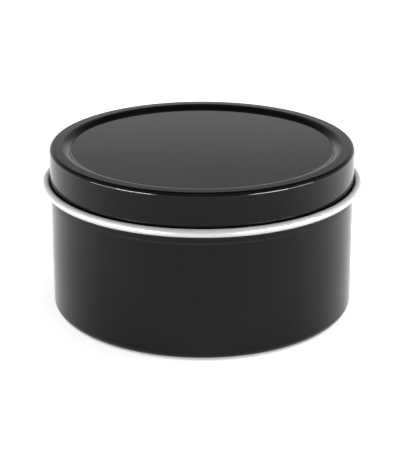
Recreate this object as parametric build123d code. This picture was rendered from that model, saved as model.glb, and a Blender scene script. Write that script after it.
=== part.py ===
"""Seamless candle tin with a slip lid.

Two tinplate stampings: a drawn cup whose mouth is rolled outwards into a bead, and a pressed lid
whose narrow lower skirt slips inside the mouth. Millimetres, +Z up, origin at the centre of the
surface that the tin stands on.
"""

from build123d import *
from math import sqrt
import os

# Tinplate sheet
SHEET = 0.25
HALF = SHEET / 2

# Drawn cup
BODY_R = 38.5
BODY_CORNER_R = 2.0

# Neck: the wall eases in a little under the rim
NECK_STEP = 0.1
NECK_FOOT_Z = 29.55
NECK_RAMP = 0.76
NECK_BEND_R = 5.0

# Mouth: the neck flares out again where it turns into the rim
MOUTH_FLARE_Z = 31.2
MOUTH_FLARE = 0.6
MOUTH_BEND_R = 0.6

# Rolled rim
BEAD_R = 1.0
BEAD_CENTRE_R = 39.6
BEAD_CENTRE_Z = 33.05
BEAD_SWEEP = 240

# Raised centre of the base, inside the ring that the tin stands on
BASE_PANEL_R = 31.5
BASE_PANEL_RISE = 0.7
BASE_RAMP = 1.9
BASE_BEND_R = 1.2

# Lid
LID_TOP_Z = 42.5
LID_R = 38.6
LID_CORNER_R = 1.0
STEP_CORNER_R = 0.45
SEAT_GAP = 0.4

# Sunken centre of the lid: a soft crest and a tighter foot
RECESS_R = 34.37
RECESS_DEPTH = 0.95
RECESS_RAMP = 1.06
RECESS_CREST_R = 2.95
RECESS_FOOT_R = 0.7

# Plug: the narrower lower skirt inside the mouth, with its edge rolled inwards
PLUG_R = 37.9
PLUG_DEPTH = 5.5
HEM_R = 0.55
HEM_SWEEP = 250


def sheet_metal(points, radii, roll_r, roll_sweep):
    """Turn the sheet's centre line about Z: straight runs with rounded bends, then a rolled edge."""
    with BuildSketch(Plane.XZ) as section:
        with BuildLine():
            with BuildLine(mode=Mode.PRIVATE):
                run = FilletPolyline(*points, radius=radii)
                roll = JernArc(run @ 1, run % 1, roll_r, roll_sweep)
                centre_line = Wire([*run.edges(), roll])
            offset(centre_line, amount=HALF, side=Side.BOTH, kind=Kind.ARC)
        make_face()
    return revolve(section.sketch, axis=Axis.Z)


def tin_body():
    """The drawn cup, from the centre of its base out to the edge of the rolled rim."""
    floor_z = BASE_PANEL_RISE + HALF
    foot_z = HALF
    wall_r = BODY_R - HALF
    neck_r = wall_r - NECK_STEP
    roll_r = BEAD_R - HALF
    mouth_r = BEAD_CENTRE_R - roll_r
    points = [
        (0, floor_z),
        (BASE_PANEL_R, floor_z),
        (BASE_PANEL_R + BASE_RAMP, foot_z),
        (wall_r, foot_z),
        (wall_r, NECK_FOOT_Z),
        (neck_r, NECK_FOOT_Z + NECK_RAMP),
        (neck_r, MOUTH_FLARE_Z),
        (mouth_r, MOUTH_FLARE_Z + MOUTH_FLARE),
        (mouth_r, BEAD_CENTRE_Z),
    ]
    corner = BODY_CORNER_R - HALF
    radii = [BASE_BEND_R, BASE_BEND_R, corner, NECK_BEND_R, NECK_BEND_R, MOUTH_BEND_R, MOUTH_BEND_R]
    return sheet_metal(points, radii, roll_r, -BEAD_SWEEP)


def step_underside_z():
    """Height of the lid's step, where its rounded corner stands SEAT_GAP off the rolled rim."""
    across = BEAD_CENTRE_R - (LID_R - STEP_CORNER_R)
    apart = BEAD_R + STEP_CORNER_R + SEAT_GAP
    return BEAD_CENTRE_Z + sqrt(apart**2 - across**2) - STEP_CORNER_R


def slip_lid():
    """The pressed lid, from the centre of its panel down to the rolled-in edge of its plug."""
    panel_z = LID_TOP_Z - RECESS_DEPTH - HALF
    border_z = LID_TOP_Z - HALF
    skirt_r = LID_R - HALF
    step_z = step_underside_z() + HALF
    plug_r = PLUG_R - HALF
    plug_z = step_underside_z() - PLUG_DEPTH + HEM_R
    points = [
        (0, panel_z),
        (RECESS_R - RECESS_RAMP, panel_z),
        (RECESS_R, border_z),
        (skirt_r, border_z),
        (skirt_r, step_z),
        (plug_r, step_z),
        (plug_r, plug_z),
    ]
    corner = LID_CORNER_R - HALF
    step_bend = STEP_CORNER_R - HALF
    radii = [RECESS_FOOT_R, RECESS_CREST_R, corner, step_bend, step_bend]
    return sheet_metal(points, radii, HEM_R - HALF, -HEM_SWEEP)


os.makedirs("parts", exist_ok=True)
export_step(tin_body(), "parts/tin_body.step")
export_step(slip_lid(), "parts/slip_lid.step")
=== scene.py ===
"""Black candle tin with a slip lid: the two stampings, their finishes, and a plain white studio.

Metres, +Z up. Each stamping is drawn as the centre line of its sheet, ring by ring, then bent,
given its thickness, and coated: black lacquer outside, bare tinplate inside and on the cut edge.
"""

import math

import bmesh
import bpy
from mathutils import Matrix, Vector


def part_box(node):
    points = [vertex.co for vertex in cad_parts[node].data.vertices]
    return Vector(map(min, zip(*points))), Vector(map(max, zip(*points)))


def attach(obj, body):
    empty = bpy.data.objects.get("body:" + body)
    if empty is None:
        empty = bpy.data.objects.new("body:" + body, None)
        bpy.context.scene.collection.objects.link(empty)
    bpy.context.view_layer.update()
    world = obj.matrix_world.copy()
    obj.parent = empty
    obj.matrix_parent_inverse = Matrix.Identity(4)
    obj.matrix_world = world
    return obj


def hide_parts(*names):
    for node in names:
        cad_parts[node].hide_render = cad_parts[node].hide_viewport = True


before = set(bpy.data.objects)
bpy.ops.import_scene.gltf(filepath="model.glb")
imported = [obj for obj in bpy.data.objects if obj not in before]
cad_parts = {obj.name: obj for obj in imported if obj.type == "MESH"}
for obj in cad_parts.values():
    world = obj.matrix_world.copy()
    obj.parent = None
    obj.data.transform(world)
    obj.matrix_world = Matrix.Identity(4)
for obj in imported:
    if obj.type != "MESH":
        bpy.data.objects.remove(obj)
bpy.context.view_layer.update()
tin_low, tin_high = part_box("tin_body")
lid_low, lid_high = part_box("slip_lid")

# Sheet and turning
SHEET = 0.00025
TURN_STEPS = 256
BEND_STEPS = 10

# Drawn cup, measured from its rolled rim and its base
RIM_OVERHANG = 0.0021
BODY_CORNER = 0.002
NECK_STEP = 0.0001
NECK_FOOT = 0.02955
NECK_RAMP = 0.00076
NECK_BEND = 0.005
MOUTH_FLARE_FOOT = 0.0312
MOUTH_FLARE = 0.0006
MOUTH_BEND = 0.0006
BEAD = 0.001
BEAD_TURN = 240
BASE_PANEL = 0.0315
BASE_RISE = 0.0007
BASE_RAMP = 0.0019
BASE_BEND = 0.0012

# Pressed lid
LID_CORNER = 0.001
STEP_CORNER = 0.00045
STEP_UNDERSIDE = 0.03375
RECESS_EDGE = 0.03437
RECESS_DEPTH = 0.00095
RECESS_RAMP = 0.00106
RECESS_CREST = 0.00295
RECESS_FOOT = 0.0007
PLUG = 0.0379
HEM = 0.00055
HEM_TURN = 250
ROLL_STEPS = 24


# ---------- Sheet-metal shaping ----------


def start_disc(name, radius, height):
    """A round blank, closed at its centre, left in edit mode."""
    bpy.ops.object.select_all(action="DESELECT")
    bpy.ops.mesh.primitive_circle_add(
        vertices=TURN_STEPS, radius=radius, fill_type="TRIFAN", location=(0, 0, height)
    )
    bpy.ops.object.transform_apply(location=True, rotation=False, scale=False)
    piece = bpy.context.object
    piece.name = name
    piece.data.name = name
    bpy.ops.object.mode_set(mode="EDIT")
    bpy.ops.mesh.select_mode(type="EDGE")
    return piece


def select_ring(piece, radius, height):
    """Select the edges of the ring at this radius and height."""
    near = SHEET / 50

    def on_ring(point):
        return abs(math.hypot(point.x, point.y) - radius) < near and abs(point.z - height) < near

    bpy.ops.mesh.select_all(action="DESELECT")
    mesh = bmesh.from_edit_mesh(piece.data)
    for edge in mesh.edges:
        if all(on_ring(corner.co) for corner in edge.verts):
            edge.select_set(True)
    bmesh.update_edit_mesh(piece.data)


def draw_out(piece, start, rings):
    """Draw the sheet on from its open edge through each (radius, height) in turn."""
    radius, height = start
    select_ring(piece, radius, height)
    for to_radius, to_height in rings:
        bpy.ops.mesh.extrude_edges_move(
            TRANSFORM_OT_translate={"value": (0, 0, to_height - height)}
        )
        grow = to_radius / radius
        bpy.ops.transform.resize(value=(grow, grow, 1), center_override=(0, 0, 0))
        radius, height = to_radius, to_height


def roll(centre_radius, centre_height, radius, start, turn):
    """Rings along an edge rolled clockwise about a centre, from the start angle on, in degrees."""
    rings = []
    for step in range(1, ROLL_STEPS + 1):
        angle = math.radians(start - turn * step / ROLL_STEPS)
        rings.append(
            (centre_radius + radius * math.cos(angle), centre_height + radius * math.sin(angle))
        )
    return rings


def turning(before, at, after):
    """The angle that the sheet turns through at a ring, in radians."""
    arriving = math.atan2(at[1] - before[1], at[0] - before[0])
    leaving = math.atan2(after[1] - at[1], after[0] - at[0])
    return abs((leaving - arriving + math.pi) % math.tau - math.pi)


def bend_rings(piece, outline, bends):
    """Round the sheet to each bend radius at the rings inside the outline."""
    for before, at, after, bend in zip(outline, outline[1:], outline[2:], bends):
        select_ring(piece, *at)
        bpy.ops.mesh.bevel(
            offset=bend * math.tan(turning(before, at, after) / 2),
            offset_type="OFFSET",
            segments=BEND_STEPS,
            profile=0.5,
            affect="EDGES",
            clamp_overlap=False,
        )


def finish_sheet(piece, outside, inside):
    """Give the shell its sheet thickness, ease its cut edge and smooth it."""
    bpy.ops.object.mode_set(mode="OBJECT")
    piece.data.materials.append(outside)
    piece.data.materials.append(inside)
    wall = piece.modifiers.new("sheet", "SOLIDIFY")
    wall.thickness = SHEET
    wall.offset = 0
    wall.use_even_offset = True
    wall.material_offset = 1
    wall.material_offset_rim = 1
    bpy.ops.object.modifier_apply(modifier=wall.name)
    eased = piece.modifiers.new("cut_edge", "BEVEL")
    eased.width = SHEET / 4
    eased.segments = 3
    eased.limit_method = "ANGLE"
    eased.angle_limit = math.radians(60)
    bpy.ops.object.modifier_apply(modifier=eased.name)
    bpy.ops.object.shade_smooth()
    even = piece.modifiers.new("even_shading", "WEIGHTED_NORMAL")
    even.weight = 100
    bpy.ops.object.modifier_apply(modifier=even.name)


def face_outwards(piece, centre_faces):
    """Turn the shell's lacquered side out. Its centre faces up (1) or down (-1)."""
    bpy.ops.mesh.select_all(action="SELECT")
    bpy.ops.mesh.remove_doubles(threshold=SHEET / 500)
    bpy.ops.mesh.normals_make_consistent(inside=False)
    mesh = bmesh.from_edit_mesh(piece.data)
    centre = min(mesh.faces, key=lambda face: face.calc_center_median().xy.length)
    if centre.normal.z * centre_faces < 0:
        bpy.ops.mesh.flip_normals()


def sheet_metal(name, outline, bends, edge, centre_faces, outside, inside):
    """A turned stamping: a disc drawn out through the outline, bent, and rolled at its edge."""
    half_way = outline[1][0] / 2
    piece = start_disc(name, half_way, outline[0][1])
    draw_out(piece, (half_way, outline[0][1]), outline[1:] + edge)
    bend_rings(piece, outline + edge[:1], bends)
    face_outwards(piece, centre_faces)
    finish_sheet(piece, outside, inside)
    return piece


def make_tin_body(outside, inside):
    """The drawn cup: raised base, standing ring, wall, neck and the rim rolled outwards."""
    half = SHEET / 2
    wall = tin_high.x - RIM_OVERHANG - half
    neck = wall - NECK_STEP
    foot = tin_low.z + half
    bead_radius = tin_high.x - BEAD
    bead_height = tin_high.z - BEAD
    mouth = bead_radius - BEAD + half
    outline = [
        (0, foot + BASE_RISE),
        (BASE_PANEL, foot + BASE_RISE),
        (BASE_PANEL + BASE_RAMP, foot),
        (wall, foot),
        (wall, NECK_FOOT),
        (neck, NECK_FOOT + NECK_RAMP),
        (neck, MOUTH_FLARE_FOOT),
        (mouth, MOUTH_FLARE_FOOT + MOUTH_FLARE),
        (mouth, bead_height),
    ]
    bends = [BASE_BEND, BASE_BEND, BODY_CORNER - half, NECK_BEND, NECK_BEND, MOUTH_BEND, MOUTH_BEND]
    rim = roll(bead_radius, bead_height, BEAD - half, 180, BEAD_TURN)
    return sheet_metal("drawn_cup", outline, bends, rim, -1, outside, inside)


def make_slip_lid(outside, inside):
    """The pressed lid: sunken panel, border, skirt, step and the plug with its hemmed edge."""
    half = SHEET / 2
    top = lid_high.z - half
    panel = top - RECESS_DEPTH
    skirt = lid_high.x - half
    step = STEP_UNDERSIDE + half
    plug = PLUG - half
    hem_height = lid_low.z + HEM
    outline = [
        (0, panel),
        (RECESS_EDGE - RECESS_RAMP, panel),
        (RECESS_EDGE, top),
        (skirt, top),
        (skirt, step),
        (plug, step),
        (plug, hem_height),
    ]
    bends = [RECESS_FOOT, RECESS_CREST, LID_CORNER - half, STEP_CORNER - half, STEP_CORNER - half]
    hem = roll(plug - HEM + half, hem_height, HEM - half, 0, HEM_TURN)
    return sheet_metal("pressed_lid", outline, bends, hem, 1, outside, inside)


# ---------- Finishes ----------

LACQUER_DEEP = (0.0012, 0.0012, 0.0013)
LACQUER_CLOUD = (0.0022, 0.0022, 0.0022)
LACQUER_RUBBED = (0.004, 0.004, 0.004)
LACQUER_IOR = 1.275
TIN_BRIGHT = (0.64, 0.64, 0.635)
TIN_DULL = (0.51, 0.512, 0.515)
SHEET_METALLIC = 0.85
RIM_METALLIC = 0.35


class Finish:
    """A material under construction: its nodes, its shader and where its patterns are placed."""

    def __init__(self, name):
        self.material = bpy.data.materials.new(name)
        self.material.use_nodes = True
        self.tree = self.material.node_tree
        self.shader = self.tree.nodes["Principled BSDF"]
        self.place = self.add("ShaderNodeTexCoord").outputs["Object"]

    def add(self, kind, **settings):
        node = self.tree.nodes.new(kind)
        for key, value in settings.items():
            setattr(node, key, value)
        return node

    def link(self, output, socket):
        self.tree.links.new(output, socket)

    def sum(self, operation, first, second):
        """A Math node of one operation on two outputs or numbers."""
        node = self.add("ShaderNodeMath", operation=operation)
        for socket, value in zip(node.inputs, (first, second)):
            if isinstance(value, (int, float)):
                socket.default_value = value
            else:
                self.link(value, socket)
        return node.outputs["Value"]

    def polar(self):
        """Radius from the tin's axis, angle round it, and height."""
        parts = self.add("ShaderNodeSeparateXYZ")
        self.link(self.place, parts.inputs["Vector"])
        x, y, height = parts.outputs
        square = self.sum("ADD", self.sum("MULTIPLY", x, x), self.sum("MULTIPLY", y, y))
        radius = self.sum("SQRT", square, 0)
        return radius, self.sum("ARCTAN2", y, x), height

    def noise(self, scale, detail=2, at=None):
        """Soft noise, with this many bumps to the metre."""
        node = self.add("ShaderNodeTexNoise")
        self.link(at or self.place, node.inputs["Vector"])
        node.inputs["Scale"].default_value = scale
        node.inputs["Detail"].default_value = detail
        return node.outputs["Fac"]

    def stretched(self, scale, turn):
        """The pattern's place, drawn out by a scale on each axis and turned about Z."""
        node = self.add("ShaderNodeMapping")
        node.inputs["Scale"].default_value = scale
        node.inputs["Rotation"].default_value = (0, 0, math.radians(turn))
        self.link(self.place, node.inputs["Vector"])
        return node.outputs["Vector"]

    def span(self, value, start, end, low, high):
        """Carry a value from start..end over to low..high."""
        node = self.add("ShaderNodeMapRange", interpolation_type="SMOOTHSTEP")
        for name, number in zip(("From Min", "From Max", "To Min", "To Max"), (start, end, low, high)):
            node.inputs[name].default_value = number
        self.link(value, node.inputs["Value"])
        return node.outputs["Result"]

    def colours(self, value, first, second):
        """Blend between two colours."""
        node = self.add("ShaderNodeMix", data_type="RGBA")
        self.link(value, node.inputs[0])
        node.inputs[6].default_value = (*first, 1)
        node.inputs[7].default_value = (*second, 1)
        return node.outputs[2]

    def relief(self, height, depth, under=None):
        """Raise the surface by up to this depth in metres, on top of any relief under it."""
        node = self.add("ShaderNodeBump")
        node.inputs["Distance"].default_value = depth
        self.link(height, node.inputs["Height"])
        if under:
            self.link(under, node.inputs["Normal"])
        return node.outputs["Normal"]


def near_edge(made, radius, height, edge_radius, edge_height):
    """1 on a round edge of the tin, falling to 0 about a millimetre away from it."""
    across = made.sum("SUBTRACT", radius, edge_radius)
    along = made.sum("SUBTRACT", height, edge_height)
    square = made.sum(
        "ADD", made.sum("MULTIPLY", across, across), made.sum("MULTIPLY", along, along)
    )
    return made.span(made.sum("SQRT", square, 0), 0.0003, 0.0012, 1, 0)


def black_lacquer():
    """Baked black enamel: deep and glossy, a faint orange peel, hairlines, and rubbed edges."""
    made = Finish("black_lacquer")
    radius, _, height = made.polar()
    lid_edge = near_edge(made, radius, height, lid_high.x, lid_high.z)
    base_edge = near_edge(made, radius, height, tin_high.x - RIM_OVERHANG, tin_low.z)
    edges = made.sum("MAXIMUM", lid_edge, base_edge)
    rubbed = made.sum("MULTIPLY", edges, made.span(made.noise(900, 3), 0.55, 0.75, 0, 1))
    clouds = made.noise(45, 4)
    hairlines = made.span(made.noise(1, 2, made.stretched((60, 3500, 60), 24)), 0.66, 0.72, 0, 1)
    body = made.colours(made.span(clouds, 0.35, 0.65, 0, 1), LACQUER_DEEP, LACQUER_CLOUD)
    worn = made.add("ShaderNodeMix", data_type="RGBA")
    made.link(rubbed, worn.inputs[0])
    made.link(body, worn.inputs[6])
    worn.inputs[7].default_value = (*LACQUER_RUBBED, 1)
    made.link(worn.outputs[2], made.shader.inputs["Base Color"])
    gloss = made.span(clouds, 0.3, 0.7, 0.065, 0.1)
    gloss = made.sum("ADD", gloss, made.sum("MULTIPLY", hairlines, 0.05))
    gloss = made.sum("ADD", gloss, made.sum("MULTIPLY", rubbed, 0.12))
    made.link(gloss, made.shader.inputs["Roughness"])
    peel = made.relief(made.noise(650, 1), 0.0000015)
    made.link(made.relief(hairlines, 0.0000004, peel), made.shader.inputs["Normal"])
    made.shader.inputs["IOR"].default_value = LACQUER_IOR
    return made.material


def bare_tinplate():
    """Bright tinned steel: rolled grain on the sheet, forming lines round the curled rim."""
    made = Finish("bare_tinplate")
    radius, angle, height = made.polar()
    ring_place = made.add("ShaderNodeCombineXYZ")
    made.link(made.sum("MULTIPLY", radius, 9000), ring_place.inputs["X"])
    made.link(made.sum("MULTIPLY", angle, 3), ring_place.inputs["Y"])
    made.link(made.sum("MULTIPLY", height, 9000), ring_place.inputs["Z"])
    forming_lines = made.noise(1, 2, ring_place.outputs["Vector"])
    grain = made.noise(1, 3, made.stretched((50, 6000, 50), 0))
    on_rim = made.span(radius, 0.0383, 0.0386, 0, 1)
    marks = made.add("ShaderNodeMix", data_type="FLOAT")
    made.link(on_rim, marks.inputs[0])
    made.link(grain, marks.inputs[2])
    made.link(forming_lines, marks.inputs[3])
    marks = marks.outputs[0]
    tin_clouds = made.noise(110, 4)
    tone = made.sum(
        "ADD", made.span(tin_clouds, 0.35, 0.65, 0, 0.4), made.span(marks, 0.35, 0.65, 0, 0.6)
    )
    made.link(
        made.colours(tone, TIN_BRIGHT, TIN_DULL),
        made.shader.inputs["Base Color"],
    )
    satin = made.sum(
        "ADD",
        made.span(tin_clouds, 0.3, 0.7, 0.26, 0.32),
        made.span(marks, 0.35, 0.65, -0.03, 0.04),
    )
    made.link(satin, made.shader.inputs["Roughness"])
    made.link(made.relief(marks, 0.0000012), made.shader.inputs["Normal"])
    made.link(made.span(on_rim, 0, 1, SHEET_METALLIC, RIM_METALLIC), made.shader.inputs["Metallic"])
    return made.material


# ---------- Studio ----------

VIEW_DISTANCE = 0.38
VIEW_RISE = math.radians(20.6)
VIEW_LENS = 125.8
AIM_SIDE = -0.0005
AIM_HEIGHT = 0.0203


def add_camera():
    """The camera stands in front, looking down at the tin, with a long lens."""
    aim = Vector((AIM_SIDE, 0, AIM_HEIGHT))
    data = bpy.data.cameras.new("camera")
    data.lens = VIEW_LENS
    camera = bpy.data.objects.new("camera", data)
    bpy.context.scene.collection.objects.link(camera)
    back = Vector((0, -VIEW_DISTANCE, VIEW_DISTANCE * math.tan(VIEW_RISE)))
    camera.location = aim + back
    camera.rotation_euler = (-back).to_track_quat("-Z", "Y").to_euler()
    bpy.context.scene.camera = camera


def add_floor():
    """A wide white light table. Its glow is dimmed close round the tin's foot as a painted contact
    shadow, and it glows more strongly farther away from the tin.
    """
    bpy.ops.object.select_all(action="DESELECT")
    bpy.ops.mesh.primitive_plane_add(size=6, location=(0, 0, tin_low.z))
    floor = bpy.context.object
    floor.name = "floor"
    made = Finish("light_table")
    made.shader.inputs["Base Color"].default_value = (0.8, 0.8, 0.8, 1)
    made.shader.inputs["Roughness"].default_value = 0.9
    made.shader.inputs["Specular IOR Level"].default_value = 0
    made.shader.inputs["Emission Color"].default_value = (1, 1, 1, 1)
    radius = made.polar()[0]
    # Painted contact shadow: the emission falls from 0.48 to 0.38 near the tin's foot, and rises by up
    # to 1.9 more far out.
    glow_and_painted_shadow = made.sum(
        "ADD", made.span(radius, 0.037, 0.05, 0.38, 0.48), made.span(radius, 0.12, 0.36, 0, 1.9)
    )
    made.link(glow_and_painted_shadow, made.shader.inputs["Emission Strength"])
    floor.data.materials.append(made.material)


# The light tent's walls: (sine of the angle above the table, grey)
BACK_WALL = [
    (0.0, 0.03),
    (0.035, 0.03),
    (0.06, 1.0),
    (0.26, 0.87),
    (0.29, 0.71),
    (0.31, 0.57),
    (0.33, 0.49),
    (0.5, 0.2),
    (0.7, 0.08),
]
SIDE_WALL = [(0.0, 1.0), (0.35, 0.8), (0.7, 0.45), (0.96, 0.08)]
FRONT_WALL = [(0.0, 0.5), (0.93, 0.5), (0.985, 0.15)]


def add_world():
    """A light tent whose walls differ: behind, beside and in front of the tin, dim overhead."""
    world = bpy.data.worlds.new("light_tent")
    bpy.context.scene.world = world
    world.use_nodes = True
    tree = world.node_tree

    def add(kind, **settings):
        node = tree.nodes.new(kind)
        for key, value in settings.items():
            setattr(node, key, value)
        return node

    def wall(stops):
        """The grey of one wall at each height, as the sine of its angle above the table."""
        ramp = add("ShaderNodeValToRGB")
        tree.links.new(direction.outputs["Z"], ramp.inputs["Fac"])
        points = ramp.color_ramp.elements
        while len(points) < len(stops):
            points.new(1)
        for point, (position, grey) in zip(points, stops):
            point.position = position
            point.color = (grey, grey, grey, 1)
        return ramp.outputs["Color"]

    def blend(amount, start, end, first, second):
        """Go from the first wall to the second as the amount goes from start to end."""
        share = add("ShaderNodeMapRange", interpolation_type="SMOOTHSTEP")
        tree.links.new(amount, share.inputs["Value"])
        share.inputs["From Min"].default_value = start
        share.inputs["From Max"].default_value = end
        mix = add("ShaderNodeMix", data_type="RGBA")
        tree.links.new(share.outputs["Result"], mix.inputs[0])
        tree.links.new(first, mix.inputs[6])
        tree.links.new(second, mix.inputs[7])
        return mix.outputs[2]

    place = add("ShaderNodeTexCoord").outputs["Generated"]
    direction = add("ShaderNodeSeparateXYZ")
    tree.links.new(place, direction.inputs["Vector"])
    flat = add("ShaderNodeVectorMath", operation="MULTIPLY")
    flat.inputs[1].default_value = (1, 1, 0)
    tree.links.new(place, flat.inputs[0])
    compass = add("ShaderNodeVectorMath", operation="NORMALIZE")
    tree.links.new(flat.outputs["Vector"], compass.inputs[0])
    bearing = add("ShaderNodeSeparateXYZ")
    tree.links.new(compass.outputs["Vector"], bearing.inputs["Vector"])
    beside = blend(bearing.outputs["Y"], -0.75, -0.3, wall(FRONT_WALL), wall(SIDE_WALL))
    around = blend(bearing.outputs["Y"], 0.3, 0.7, beside, wall(BACK_WALL))
    seen = add("ShaderNodeMix", data_type="RGBA")
    tree.links.new(add("ShaderNodeLightPath").outputs["Is Camera Ray"], seen.inputs[0])
    tree.links.new(around, seen.inputs[6])
    seen.inputs[7].default_value = (1, 1, 1, 1)
    tree.links.new(seen.outputs[2], tree.nodes["Background"].inputs["Color"])


def add_softbox(name, azimuth, rise, distance, size, power, in_reflections):
    """A soft rectangular light aimed at the tin. Azimuth 0 is in front, 90 to the right."""
    data = bpy.data.lights.new(name, "AREA")
    data.shape = "RECTANGLE"
    data.size, data.size_y = size
    data.energy = power
    light = bpy.data.objects.new(name, data)
    bpy.context.scene.collection.objects.link(light)
    turn = math.radians(azimuth)
    lift = math.radians(rise)
    outwards = Vector(
        (math.sin(turn) * math.cos(lift), -math.cos(turn) * math.cos(lift), math.sin(lift))
    )
    light.location = Vector((0, 0, tin_high.z / 2)) + outwards * distance
    light.rotation_euler = (-outwards).to_track_quat("-Z", "Y").to_euler()
    light.visible_camera = False
    light.visible_glossy = in_reflections
    light.visible_diffuse = not in_reflections


def light_the_tin():
    bpy.context.scene.view_settings.view_transform = "Standard"
    add_world()
    add_softbox("left_key", -80, 42, 0.32, (0.16, 0.16), 0.62, False)
    add_softbox("right_key", 90, 42, 0.32, (0.16, 0.16), 0.8, False)
    for side in (-1, 1):
        add_softbox("side_strip", 59 * side, 4, 0.9, (0.9, 0.09), 10, True)
        add_softbox("strip_core", 49 * side, 4, 0.89, (0.42, 0.08), 10, True)


# ---------- The tin ----------

lacquer = black_lacquer()
tinplate = bare_tinplate()

cup = make_tin_body(lacquer, tinplate)
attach(cup, "tin")
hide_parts("tin_body")

lid = make_slip_lid(lacquer, tinplate)
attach(lid, "lid")
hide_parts("slip_lid")

add_floor()
light_the_tin()
add_camera()
